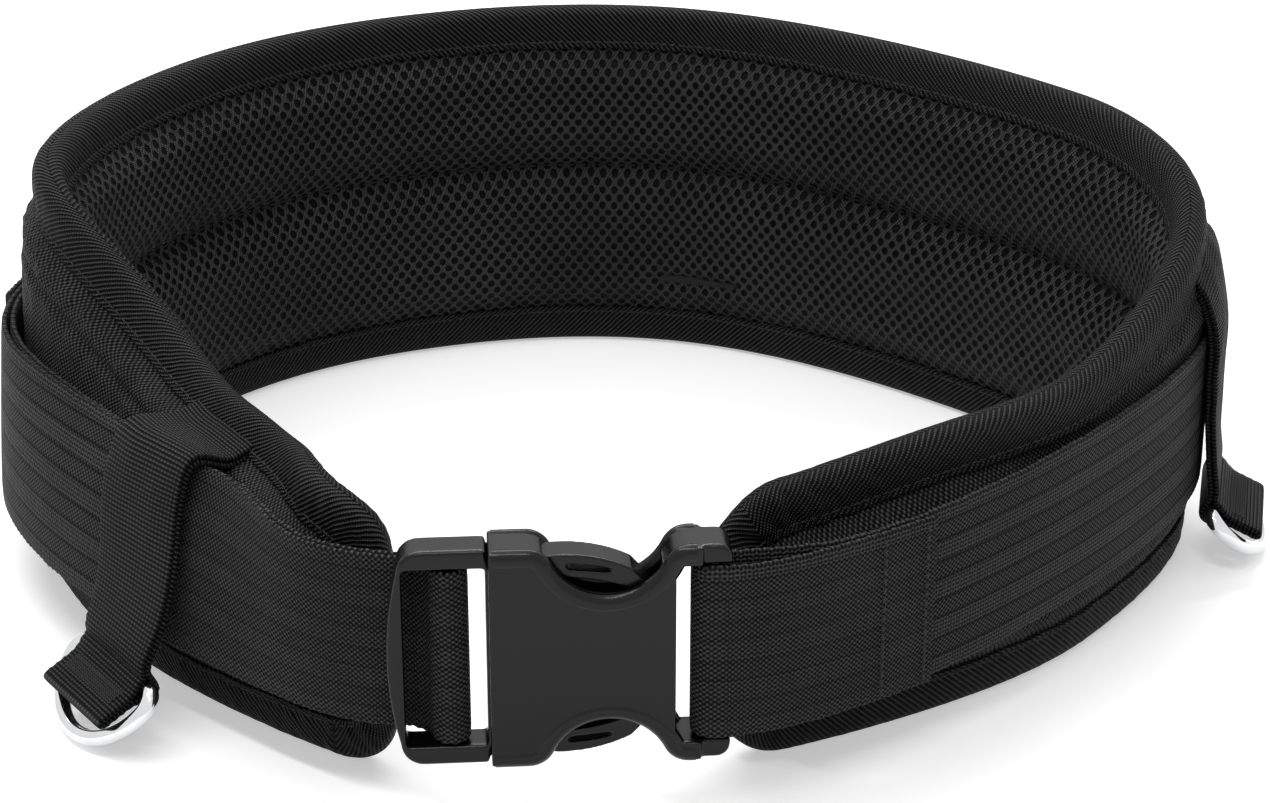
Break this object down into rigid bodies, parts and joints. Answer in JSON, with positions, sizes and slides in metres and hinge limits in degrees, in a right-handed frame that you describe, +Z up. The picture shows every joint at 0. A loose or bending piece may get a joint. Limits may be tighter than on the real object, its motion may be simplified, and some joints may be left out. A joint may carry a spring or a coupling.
{
  "type": "padded tool belt",
  "caption": "Contoured padded tool belt: bound foam pad on wide webbing, closed by a side-release buckle, with hanging loops that carry D-rings for braces or pouches.",
  "frame": {"origin": "middle of the belt's bounding box, on the surface that the belt stands on", "axes": "+X to the buckle's right seen from the front, +Y from the buckle to the back of the belt, +Z up"},
  "size_m": [0.4024, 0.3395, 0.1263],
  "materials": {
    "foam": "closed-cell foam",
    "shell_cloth": "plain-weave nylon",
    "mesh_cloth": "air mesh",
    "tape": "herringbone tape",
    "thread": "sewing thread",
    "webbing": "ribbed webbing",
    "buckle_plastic": "fine-textured, satin",
    "ring_metal": "polished"
  },
  "bodies": {
    "belt": {"foam_core_left": "foam", "foam_core_right": "foam", "outer_shell": "shell_cloth", "inner_lining": "mesh_cloth", "edge_binding_left": "tape", "edge_binding_right": "tape", "binding_seam_outer": "thread", "binding_seam_inner": "thread", "lining_channel_seam": "thread", "back_tack": "thread", "belt_webbing": "webbing", "webbing_tail": "webbing", "webbing_pad_tacks": "thread", "flap_stitching": "thread", "tail_hem_stitching": "thread", "female_buckle": "buckle_plastic"},
    "plug": {"male_buckle": "buckle_plastic", "webbing_bight": "webbing"},
    "upper_latch": {"latch_arm_upper": "buckle_plastic"},
    "lower_latch": {"latch_arm_lower": "buckle_plastic"},
    "left_loop": {"left_drop_loop": "webbing", "left_tab_tack": "thread"},
    "left_ring": {"left_d_ring": "ring_metal"},
    "right_loop": {"right_drop_loop": "webbing", "right_tab_tack": "thread"},
    "right_ring": {"right_d_ring": "ring_metal"}
  },
  "joints": [
    {"name": "buckle_release", "type": "slide", "parent": "belt", "child": "plug", "axis": [-1, 0, 0], "range_m": [0, 0.046], "deforming": ["webbing_bight"]},
    {"name": "upper_latch_press", "type": "hinge", "parent": "plug", "child": "upper_latch", "pos_m": [-0.04639, -0.16217, 0.07565], "axis": [0, 1, 0], "range_deg": [0, 7], "stiffness_Nm_per_rad": 2.5},
    {"name": "lower_latch_press", "type": "hinge", "parent": "plug", "child": "lower_latch", "pos_m": [-0.04639, -0.16217, 0.02565], "axis": [0, -1, 0], "range_deg": [0, 7], "stiffness_Nm_per_rad": 2.5},
    {"name": "left_loop_swing", "type": "hinge", "parent": "belt", "child": "left_loop", "pos_m": [-0.12817, -0.08081, 0.07112], "axis": [-0.6758, 0.7371, 0], "range_deg": [0, 35]},
    {"name": "left_ring_swing", "type": "hinge", "parent": "left_loop", "child": "left_ring", "pos_m": [-0.15713, -0.10737, 0.01898], "axis": [0.6758, -0.7371, 0], "range_deg": [0, 60]},
    {"name": "right_loop_swing", "type": "hinge", "parent": "belt", "child": "right_loop", "pos_m": [0.17738, -0.0171, 0.09196], "axis": [-0.2599, -0.9656, 0], "range_deg": [0, 35]},
    {"name": "right_ring_swing", "type": "hinge", "parent": "right_loop", "child": "right_ring", "pos_m": [0.18144, -0.01819, 0.01898], "axis": [0.2599, 0.9656, 0], "range_deg": [0, 40]}
  ]
}
